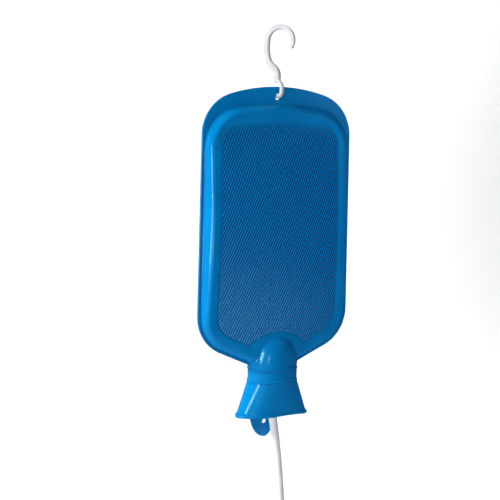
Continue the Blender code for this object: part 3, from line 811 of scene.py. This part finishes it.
def dome_rows():
    """Half width, half depth and depth down the dome and the neck, smoothed."""
    rows = (
        (1.5, 6.6, 259.8), (4.5, 8.0, 260.2), (9.5, 10.8, 261.3), (14.0, 13.2, 263.0),
        (17.8, 15.2, 265.2), (20.6, 16.9, 268.0), (22.8, 18.2, 271.6), (24.6, 19.2, 276.0),
        (26.2, 19.8, 281.5), (27.5, 20.0, 288.0), (NECK_HALF_WIDTH, NECK_HALF_DEPTH, 293.0),
        (NECK_HALF_WIDTH, NECK_HALF_DEPTH, 295.0),
    )
    return smooth_path(rows, 0.9)


def flare(depth):
    share = max(depth - BEAD_DEPTHS[1], 0.0) / (MOUTH_DEPTH - BEAD_DEPTHS[1])
    half = NECK_HALF_WIDTH + (MOUTH_HALF_WIDTH - NECK_HALF_WIDTH) * share
    return half, NECK_HALF_DEPTH + (MOUTH_HALF_DEPTH - NECK_HALF_DEPTH) * share


def askew(x, facing):
    """How much lower the funnel's beads and mouth hang: rising to the left and a little at the front."""
    wave = np.clip(-facing, 0.0, 1.0) * np.sin(x / SKEW_HALF_WIDTH * math.pi)
    return FUNNEL_TILT * x - FRONT_RISE * np.abs(facing) ** 1.5 - wave


def oval_rings(rows, segments):
    """Rings of (half width, half depth, depth[, share of the funnel's skew])."""
    turn = np.arange(segments) * TAU / segments
    rings = []
    for half, deep, depth, *sag in rows:
        low = depth + (sag[0] * askew(half * np.cos(turn), np.sin(turn)) if sag else 0.0)
        ring = np.stack([half * np.cos(turn), deep * np.sin(turn),
                         TAB_TOP_Z - low * np.ones(segments)], 1)
        rings.append(ring)
    return np.concatenate(rings)


def neck_piece(material):
    segments = 160
    rows = [tuple(row) for row in dome_rows()]
    points = oval_rings(rows, segments)
    # Where the dome meets a panel it spreads into a small fillet.
    heights = np.abs(points[:, 1])
    x, depth = points[:, 0], TAB_TOP_Z - points[:, 2]
    above = heights - crest_height(x, depth)
    fillet = 1.1
    near = np.clip(1.0 - np.clip(above, 0.0, fillet) / fillet, 0.0, 1.0)
    spread = fillet * (1.0 - np.sqrt(np.clip(1.0 - near**2, 0.0, 1.0)))
    out = np.stack([x, -(depth - 292.0)], 1)
    out /= np.linalg.norm(out, axis=1, keepdims=True)
    fade = smoothstep(294.0 - depth, 0.0, 8.0)
    points[:, 0] += out[:, 0] * spread * fade
    points[:, 2] += out[:, 1] * spread * fade
    faces = grid_faces(len(rows), segments, closed=True)
    faces.append(list(range(segments))[::-1])
    top = (len(rows) - 1) * segments
    inner_rows = [
        (NECK_HALF_WIDTH - 3, NECK_HALF_DEPTH - 2.5, NECK_SEAM_DEPTH),
        (BUSH_SEAT_R, BUSH_SEAT_R, NECK_SEAM_DEPTH),
        (BUSH_SEAT_R, BUSH_SEAT_R, 285.0),
    ]
    inner = oval_rings(inner_rows, segments)
    start = len(points)
    ring = np.arange(top, top + segments)
    for k in range(len(inner_rows)):
        here = np.arange(start + k * segments, start + (k + 1) * segments)
        faces += np.stack([ring, np.roll(ring, -1), np.roll(here, -1), here], 1).tolist()
        ring = here
    faces.append(ring.tolist())
    return solid_object("neck_dome", np.concatenate([points, inner]), faces, material, 60)


def funnel_piece(material):
    segments = 160
    top = BEAD_DEPTHS[0] - 1.6
    rows = [
        (NECK_HALF_WIDTH - 0.3, NECK_HALF_DEPTH - 0.3, top, 1.0),
        (NECK_HALF_WIDTH, NECK_HALF_DEPTH, top + 0.3, 1.0),
    ]
    for depth in BEAD_DEPTHS:
        for offset in np.linspace(-1.0, 1.0, 9):
            half, deep = flare(depth + offset)
            proud = BEAD * max(0.0, math.cos(math.pi / 2 * offset)) ** 0.8
            rows.append((half + proud, deep + proud, depth + offset, 1.0))
        if depth == BEAD_DEPTHS[0]:
            rows += [(NECK_HALF_WIDTH, NECK_HALF_DEPTH, d, 1.0) for d in (301.0, 304.0, 307.0, 309.5)]
    for depth in np.linspace(313.0, MOUTH_DEPTH - 3.6, 14):
        rows.append((*flare(depth), depth, 1.0))
    lip = ((0.1, -3.0), (0.35, -2.4), (0.55, -1.6), (0.55, -0.8), (0.35, -0.1), (-0.1, 0.35), (-0.8, 0.45),
           (-1.6, 0.2), (-2.3, -0.6), (-2.5, -1.8))
    for out, down in lip:
        half, deep = flare(MOUTH_DEPTH)
        rows.append((half + out, deep + out, MOUTH_DEPTH + down, 1.0))
    for depth in np.linspace(MOUTH_DEPTH - 4.0, 314.5, 12):
        half, deep = flare(depth)
        rows.append((half - FUNNEL_WALL, deep - FUNNEL_WALL, depth, 1.0))
    bore = BUSH_SEAT_R
    rows += [(bore + 2.5, bore + 0.3, 312.4, 0.3), (bore, bore, 310.8, 0.0), (bore, bore, 296.3, 0.0),
             (bore + 0.4, bore + 0.4, 295.4, 0.2)]
    faces = ring_faces(len(rows), segments)
    obj = solid_object("funnel_skin", oval_rings(rows, segments), faces, material, 60)
    cut(obj, tongue_solid(material), "UNION")
    hole_z = TAB_TOP_Z - TONGUE_HOLE_DEPTH
    cut(obj, rod("tongue_hole", 2.45, (TONGUE_X, 5, hole_z), (TONGUE_X, 30, hole_z)))
    obj.data.set_sharp_from_angle(angle=math.radians(60))
    return obj


def tongue_solid(material):
    """The hanging tongue on the back of the lip."""
    root = MOUTH_DEPTH - 3.0
    rows, parts, across = [], 28, 24
    for i in range(parts + 1):
        share = i / parts
        depth = root + (TONGUE_END - root) * math.sin(math.pi / 2 * share) ** 0.95
        half = max(TONGUE_HALF_WIDTH * math.cos(math.pi / 2 * share) ** 0.95, 0.5)
        inward = TONGUE_LEAN * max(depth - MOUTH_DEPTH, 0.0)
        ring = []
        for k in range(across):
            turn = TAU * k / across
            cos, sin = math.cos(turn), math.sin(turn)
            reach = half if cos < 0 else 0.68 * half
            x = TONGUE_X + reach * math.copysign(abs(cos) ** 0.55, cos)
            skin = 1.25 - 1.05 * math.copysign(abs(sin) ** 0.75, sin)
            off = x / MOUTH_HALF_WIDTH
            back = MOUTH_HALF_DEPTH * math.sqrt(1 - off**2)
            ring.append((x, back - skin - inward, TAB_TOP_Z - depth))
        rows.append(ring)
    points = np.array(rows).reshape(-1, 3)
    return solid_object("tongue", points, capped_faces(parts + 1, across), material, 60)


# ---------------------------------------------------------------- hook


def hook_piece(material):
    """The S: an open bend and a stem of boxy section, and a thinner round eye, each in its own plane."""
    turn = math.radians(45)
    bend_r, center = 14.2, -10.5
    path, half = [], []
    for i in range(34):
        angle = -0.42 + (math.pi + 0.42) * i / 33
        path.append((bend_r * math.cos(angle), center + bend_r * math.sin(angle)))
        half.append(2.2 + 0.75 * min(1.0, i / 15) + 0.65 * smoothstep(i / 33, 0.5, 1.0))
    stem = ((-14.4, -16.0), (-14.3, -20.5), (-13.7, -25.5), (-12.2, -30.5), (-9.2, -35.2), (-5.5, -38.4),
            (-3.0, -41.4), (-2.15, -45.4), (-2.1, -49.6), (-2.1, -51.4))
    bend = smooth_path([(x, z, 0.0) for x, z in (path[-1], *stem)], 1.2)[1:]
    path += [(p[0], p[1]) for p in bend]
    half += [3.6] * len(bend)
    path, half = np.array(path), np.array(half)
    points = np.stack([path[:, 0] * math.cos(turn), -path[:, 0] * math.sin(turn), path[:, 1]], 1)
    tip = (points[0] - points[1]) / np.linalg.norm(points[0] - points[1])
    head = np.array([points[0] + tip * reach for reach in (2.1, 1.7, 0.95)])
    tail = np.array([points[-1] + np.array([0, 0, -1.0]) * reach for reach in (0.8, 1.5, 1.9)])
    points = np.concatenate([head, points, tail])
    half = np.concatenate([half[0] * np.array([0.4, 0.7, 0.9]), half, half[-1] * np.array([0.94, 0.8, 0.62])])
    normal = (math.sin(turn), math.cos(turn), 0)
    piece = sweep("hook", points, half, half * 0.86, material, 32, square=3.0, first=normal)
    turn = math.radians(60)
    eye = ((-0.2, -49.0), (1.6, -51.4), (4.2, -54.2), (5.5, -57.8), (5.6, -61.3), (4.9, -64.6), (2.9, -66.8),
           (0.0, SWING_Z), (-2.9, -66.8), (-4.8, -64.7), (-5.7, -61.7), (-5.9, -58.8))
    eye = smooth_path([(v, z, 0.0) for v, z in eye], 0.8)
    points = np.stack([SWING_X + eye[:, 0] * math.cos(turn), -eye[:, 0] * math.sin(turn), eye[:, 1]], 1)
    ends = [points[-1] + np.array([0.0, 0.02, 1.0]) * reach for reach in (0.7, 1.2, 1.5)]
    points = np.concatenate([points, ends])
    along = np.linspace(0.0, 1.0, len(eye))
    size = np.concatenate([2.35 - 0.25 * smoothstep(along, 0.3, 0.6), [1.9, 1.4, 0.8]])
    wire = sweep("eye", points, size, size, material, 28, first=(math.sin(turn), math.cos(turn), 0))
    cut(piece, wire, "UNION")
    piece.data.set_sharp_from_angle(angle=math.radians(55))
    return piece


# ---------------------------------------------------------------- hose, hank, tap and nozzle


def hank_path(middle):
    """The hose through the hank: four folds, five runs, and the tail out of the tie."""
    top, low = middle + HANK_RUN / 2, middle - HANK_RUN / 2

    def column(z):
        share = (top - z) / HANK_RUN
        return WAIST_R + (FOLD_R - WAIST_R) * (1 + math.cos(TAU * share)) / 2

    def blend(z, z0, z1, a, b):
        t = min(max((z - z0) / (z1 - z0), 0.0), 1.0)
        return a + (b - a) * t * t * (3 - 2 * t)

    front, mid, back = -LAYER / 2, LAYER / 2, 1.5 * LAYER
    points = []
    for i in range(1, 24):
        z = (top + FOLD_R + HOSE_R) + (middle - top - FOLD_R - HOSE_R) * i / 24
        points.append((blend(z, top + 20.0, middle, 0.0, WAIST_R), front, z))
    run_steps = 22
    for i in range(run_steps // 2 + 1):
        z = middle + (low - middle) * i / (run_steps // 2)
        points.append((column(z), front, z))

    def fold(center, y, upward, entering):
        for i in range(1, 16):
            turn = math.pi * i / 16
            reach = FOLD_R * math.sin(turn) * (1 if upward else -1)
            points.append((entering * FOLD_R * math.cos(turn), y, center + reach))

    def run(side, z0, z1, y_of):
        for i in range(run_steps + 1):
            z = z0 + (z1 - z0) * i / run_steps
            points.append((side * column(z), y_of(z), z))

    fold(low, front, False, 1)
    run(-1, low, top, lambda z: blend(z, middle + 8, top, front, mid))
    fold(top, mid, True, -1)
    run(1, top, low, lambda z: mid)
    fold(low, mid, False, 1)
    run(-1, low, top, lambda z: blend(z, middle + 8, top, mid, back))
    fold(top, back, True, -1)
    for i in range(run_steps // 2):
        z = top + (middle + 8 - top) * i / (run_steps // 2)
        points.append((column(z), back, z))
    tail = (
        (4.0, 9.6, back - 0.1), (-1.0, 9.0, back), (-6.0, 8.5, back + 0.3), (-10.5, 8.15, back + 1.9),
        (-15.0, TAIL_X, TAIL_Y - 0.9), (-19.5, TAIL_X, TAIL_Y), (-TAIL_DROP, TAIL_X, TAIL_Y),
    )
    points += [(x, y, middle + z) for z, x, y in tail]
    return [(x + HANK_X, y, z) for x, y, z in points]


def hose_piece(material):
    drop = [(x, y, TAB_TOP_Z - depth) for x, y, depth in HOSE_ROUTE]
    middle = TAB_TOP_Z - HANK_TOP - FOLD_R - HOSE_R - HANK_RUN / 2
    path = even(smooth_path(drop + hank_path(middle), 1.5), 3.0)
    return sweep("hose", path, HOSE_R, HOSE_R, material, 24), path, middle


def cuff_rows(low, high, mouth):
    """A hose end stretched over barbs, swelling a little at each, from its mouth to where it relaxes."""
    far = low if mouth == high else high
    way = 1.0 if far > mouth else -1.0
    length = abs(far - mouth)
    rows = [(4.2, mouth), (5.2, mouth), (5.5, mouth + way * 0.5)]
    for i in range(25):
        share = i / 24
        swell = 0.16 * math.cos(4 * TAU * share)
        rows.append((5.45 - 0.25 * share + swell, mouth + way * (0.8 + share * (length - 4.6))))
    rows += [(5.0, far - way * 2.4), (4.7, far - way * 1.0), (4.56, far + way * 1.2), (4.2, far + way * 1.2)]
    return rows


def tie_piece(material, middle):
    """A rubber band wound round the waist of the hank, three turns side by side."""
    wide, centre, deep = 15.4, 4.5, 13.95
    section = [(0.0, -5.7), (0.0, 5.7)]
    for k in range(31):
        z = 5.7 - 11.4 * k / 30
        bump = abs(math.cos(math.pi * 3 * (z + 5.7) / 11.4 - math.pi / 2)) ** 0.5
        section.append((0.25 + 1.2 * bump, z))
    corner_r, parts = 3.2, 8
    loop = []
    for turn, sx, sy in ((0, 1, 1), (1, -1, 1), (2, -1, -1), (3, 1, -1)):
        for i in range(parts + 1):
            angle = math.pi / 2 * (turn + i / parts)
            cx, cy = sx * (wide - corner_r), centre + sy * (deep - corner_r)
            loop.append((cx, cy, math.cos(angle), math.sin(angle)))
    points = []
    for out, z in section:
        for cx, cy, nx, ny in loop:
            points.append((HANK_X + cx + nx * (corner_r + out), cy + ny * (corner_r + out), middle + z))
    return solid_object("tie_band", points, ring_faces(len(section), len(loop)), material, 50)


def barb_rows(start, end):
    rows = [(3.2, start)]
    teeth = 4
    for i in range(teeth):
        top = start + (end - start) * (i + 0.25) / teeth
        low = start + (end - start) * (i + 1) / teeth
        rows += [(3.2, top), (3.95, top + (end - start) * 0.03), (3.2, low)]
    return rows


def thread_rows(start, end, play, closing, step=0.25):
    root, crest, pitch = 10.25, 11.65, 4.0

    def row(z):
        whole = max(0.0, min(1.0, (start - z) / 1.5, (z - end) / 1.5))

        def radius(turn):
            phase = (z / pitch - turn / TAU) % 1.0
            rise = np.clip(3.0 * (0.5 - np.abs(phase - 0.5)) - 0.25, 0.0, 1.0)
            rise = closing + (rise - closing) * whole
            return root + play + (crest - root) * rise

        return radius

    count = round((start - end) / step)
    heights = [start + (end - start) * i / count for i in range(count + 1)]
    return [(row(z), z) for z in heights]


def screw_pieces(white, bush_plastic, washer_rubber):
    place = (0, 0, TAB_TOP_Z)
    rows = [(BUSH_R, -BUSH_END), (BUSH_R, -304.0), (15.8, -303.0), (15.8, -295.0)]
    rows += [(BUSH_R, -294.0), (BUSH_R, -BUSH_TOP)]
    rows += thread_rows(-BUSH_TOP, -BUSH_END, 0.4, 1.0)
    bush = lathe("bush", rows, bush_plastic, place, 96)
    belongs(bush, "bag", "bush_plastic", "neck_bush")

    def grip(turn):
        """A six-lobed grip that fingers can turn."""
        return 10.3 + 0.7 * np.cos(6 * turn)

    rows = [(2.0, -290.0), (8.6, -290.0), (9.25, -290.4)]
    rows += thread_rows(-290.6, -309.0, 0.0, 0.0)
    rows += [(10.25, -310.0), (10.25, -312.3)]
    rows += [(13.9, -312.3), (14.3, -312.7), (14.3, -314.1), (13.9, -314.8), (13.2, -315.3), (11.6, -315.3)]
    rows += [(lambda turn: grip(turn) + 0.3, -315.5), (grip, -316.2), (grip, -320.6)]
    rows += [(lambda turn: grip(turn) - 0.5, -321.5), (lambda turn: grip(turn) - 1.6, -322.0), (3.6, -322.0)]
    rows += barb_rows(-323.5, -341.2) + [(2.6, -341.2), (2.0, -340.8)]
    adapter = lathe("adapter", rows, white, place, 96)
    belongs(adapter, "adapter", "white_plastic", "hose_adapter")

    rows = rounded([(12.4, -310.3), (12.4, -312.0), (14.3, -312.0), (14.3, -310.3)], 0.4)
    washer = lathe("washer", rows, washer_rubber, place, 96)
    belongs(washer, "washer", "washer_rubber", "stopper_washer")


def tap_pieces(white, blue, place):
    bore = 2.0
    rows = [(bore, 15.6), (2.5, 16.0)] + barb_rows(1.5, 16.0)[::-1]
    rows += [(3.4, 0.2), (5.9, 0.0), (6.2, -0.3), (6.2, -1.7), (5.9, -2.1), (5.2, -2.6), (5.2, -20.6)]
    rows += [(5.0, -21.3), (4.6, -22.0), (3.4, -22.0), (3.1, -35.6), (2.8, -36.0), (bore, -36.0)]
    body = lathe("tap", rows, white, place, 64)
    axis_z = place[2] - 12.0
    front, back = place[1] - 7.5, place[1] + 7.5
    barrel = lathe_across("tap_barrel", ((0.0, -7.5), (6.9, -7.5), (7.3, -7.2), (7.5, -6.6), (7.5, -2.6),
                                         (7.2, -2.2), (7.2, 2.2), (7.5, 2.6), (7.5, 6.6), (7.3, 7.2),
                                         (6.9, 7.5), (0.0, 7.5)), white, (place[0], place[1], axis_z))
    cut(body, barrel, "UNION")
    cut(body, rod("tap_seat", 4.7, (place[0], front - 2, axis_z), (place[0], back + 2, axis_z), 64))
    body.data.set_sharp_from_angle(angle=math.radians(40))
    belongs(body, "adapter", "white_plastic", "tap_body")

    middle = (place[0], place[1], axis_z)
    plug = lathe_across("plug", ((0.0, -7.2), (4.0, -7.2), (4.4, -6.8), (4.4, 7.8), (6.4, 7.8), (6.8, 8.2),
                                 (6.8, 9.6), (6.4, 10.0), (0.0, 10.0)), blue, middle)
    cut(plug, handle_solid(blue, middle), "UNION")
    cut(plug, rod("plug_bore", bore, (middle[0], middle[1], axis_z - 9), (middle[0], middle[1], axis_z + 9)))
    cut(plug, rod("plug_dimple", 2.4, (middle[0], front - 1, axis_z), (middle[0], front + 3, axis_z)))
    plug.data.set_sharp_from_angle(angle=math.radians(40))
    belongs(plug, "plug", "tap_blue", "tap_plug")

    rows = [(1.2, -37.5), (3.4, -37.0), (3.8, -23.0), (7.0, -23.0), (7.4, -23.4), (7.4, -24.6), (7.0, -25.0)]
    rows += [(5.6, -25.6), (5.3, -26.6), (5.2, -36.0), (4.9, -37.6), (3.9, -39.6), (3.5, -42.0), (2.5, -87.0)]
    for i in range(17):
        share = i / 16
        rows.append((2.5 + 1.2 * math.sin(math.pi * share), -90.0 - 9.5 * share))
    rows += [(2.1, -100.4), (1.6, -101.0), (1.2, -101.0)]
    tip = lathe("nozzle_tube", rows, white, place, 64)
    ridges(tip, place)
    for depth, turn in ((-92.0, 0.0), (-95.0, math.pi / 2), (-92.0, math.pi), (-95.0, 1.5 * math.pi)):
        x, y = math.cos(turn), math.sin(turn)
        start = (place[0] + x * 0.6, place[1] + y * 0.6, place[2] + depth)
        end = (place[0] + x * 6.0, place[1] + y * 6.0, place[2] + depth)
        cut(tip, rod("eyelet", 0.8, start, end, 20))
    tip.data.set_sharp_from_angle(angle=math.radians(40))
    belongs(tip, "nozzle", "white_plastic", "nozzle")
    return body, plug, tip


def ridges(obj, place):
    """Shallow grip flutes round the nozzle's socket."""
    for vertex in obj.data.vertices:
        z = vertex.co.z / MM - place[2]
        x, y = vertex.co.x / MM - place[0], vertex.co.y / MM - place[1]
        reach = math.hypot(x, y)
        if -36.2 < z < -26.4 and reach > 4.5:
            share = 1.0 + 0.03 * math.cos(16 * math.atan2(y, x))
            vertex.co.x, vertex.co.y = (place[0] + x * share) * MM, (place[1] + y * share) * MM


def lathe_across(name, rows, material, place, segments=64):
    """A solid turned about an axis along Y, from rows of (radius, y)."""
    turn = np.arange(segments) * TAU / segments
    points = []
    inner = [row for row in rows if row[0] > 0]
    for radius, y in inner:
        points.append(np.stack([radius * np.cos(turn), np.full(segments, y), radius * np.sin(turn)], 1))
    points = np.concatenate(points) + np.array(place, float)
    return solid_object(name, points, capped_faces(len(inner), segments), material, 40)


def handle_solid(material, middle):
    """The tap's handle: a rounded bar, narrower at its ends."""
    heights = np.linspace(-13.0, 13.0, 40)
    path = np.stack([np.full(40, middle[0]), np.full(40, middle[1] + 7.5 + 4.2), middle[2] + heights], 1)
    share = np.abs(heights) / 13.0
    width = 3.1 * (1.0 - 0.25 * share) * np.sqrt(np.clip(1.02 - share**6, 0.02, 1.0))
    depth = 2.9 * np.sqrt(np.clip(1.02 - share**6, 0.02, 1.0))
    return sweep("handle", path, width, depth, material, 28, square=3.0, first=(0, 1, 0))


# ---------------------------------------------------------------- build

make_camera()
make_stage()
blue_rubber = rubber("moulded_blue_rubber")
# The white plastic is given a grey, mauve-tinted colour that is darker than its real near-white colour. This
# is partly painted shade, standing in for the shadow on the hook's stem.
white = plastic("white_moulded_plastic", (0.5, 0.475, 0.54), (0.56, 0.535, 0.6), 0.3, 0.00002, 0.15)
hose_white = plastic("white_hose_rubber", (0.82, 0.81, 0.87), (0.88, 0.87, 0.92), 0.38, 0.00002, 0.15)
bush_plastic = plastic("bush_plastic_grain", (0.6, 0.61, 0.66), (0.7, 0.7, 0.74), 0.42, 0.00003)
washer_rubber = plastic("grey_washer_rubber", (0.06, 0.06, 0.065), (0.09, 0.09, 0.1), 0.6, 0.00005)
band_rubber = plastic("pale_band_rubber", (0.74, 0.74, 0.78), (0.84, 0.84, 0.88), 0.55, 0.00005, 0.1)
blue_plastic = plastic("blue_tap_plastic", (0.01, 0.12, 0.44), (0.02, 0.16, 0.52), 0.3, 0.00002)

hose, hose_path, middle = hose_piece(hose_white)
belongs(hose, "adapter", "white_hose", "hose_drop", "hose_hank")

front = bag_half("front_skin", -1, blue_rubber)
back = bag_half("back_skin", 1, blue_rubber)
for half in (front, back):
    hole_z = SWING_Z - 0.3
    cut(half, rod("hang_hole", HANG_HOLE_R, (SWING_X, -6, hole_z), (SWING_X, 6, hole_z), 64))
    cut(half, block("slit", (SWING_X - 1.1, -4.0, SWING_Z + 1.0), (SWING_X + 0.1, 4.0, TAB_TOP_Z + 2.0)))
paint_rib_light_and_shade(front, -1)
paint_rib_light_and_shade(back, 1)
belongs(front, "bag", "blue_rubber", "front_panel")
belongs(back, "bag", "blue_rubber", "back_panel")
neck = neck_piece(blue_rubber)
belongs(neck, "bag", "blue_rubber")
belongs(funnel_piece(blue_rubber), "bag", "blue_rubber", "funnel")
belongs(hook_piece(white), "hook", "white_plastic", "s_hook")

screw_pieces(white, bush_plastic, washer_rubber)
place = (0, 0, TAB_TOP_Z)
cuff = lathe("cuff", cuff_rows(-CUFF_END, -CUFF_MOUTH, -CUFF_MOUTH), hose_white, place, 48)
belongs(cuff, "adapter", "white_hose", "hose_cuff")
band = tie_piece(band_rubber, middle)
belongs(band, "adapter", "tie_strap", "hank_tie")
tap_place = (HANK_X + TAIL_X, TAIL_Y, middle - TAIL_DROP - TAP_BELOW_TAIL)
end_rows = cuff_rows(END_CUFF_MOUTH, END_CUFF_END, END_CUFF_MOUTH)
end_cuff = lathe("end_cuff", end_rows, hose_white, tap_place, 48)
belongs(end_cuff, "adapter", "white_hose", "hose_end_cuff")
tap, plug, nozzle = tap_pieces(white, blue_plastic, tap_place)

run = np.linalg.norm(np.diff(hose_path, axis=0), axis=1).sum()
cuffs = (CUFF_END - CUFF_MOUTH) + (END_CUFF_END - END_CUFF_MOUTH)
print("hose centreline mm", round(float(run), 1), "with cuffs", round(float(run + cuffs), 1))
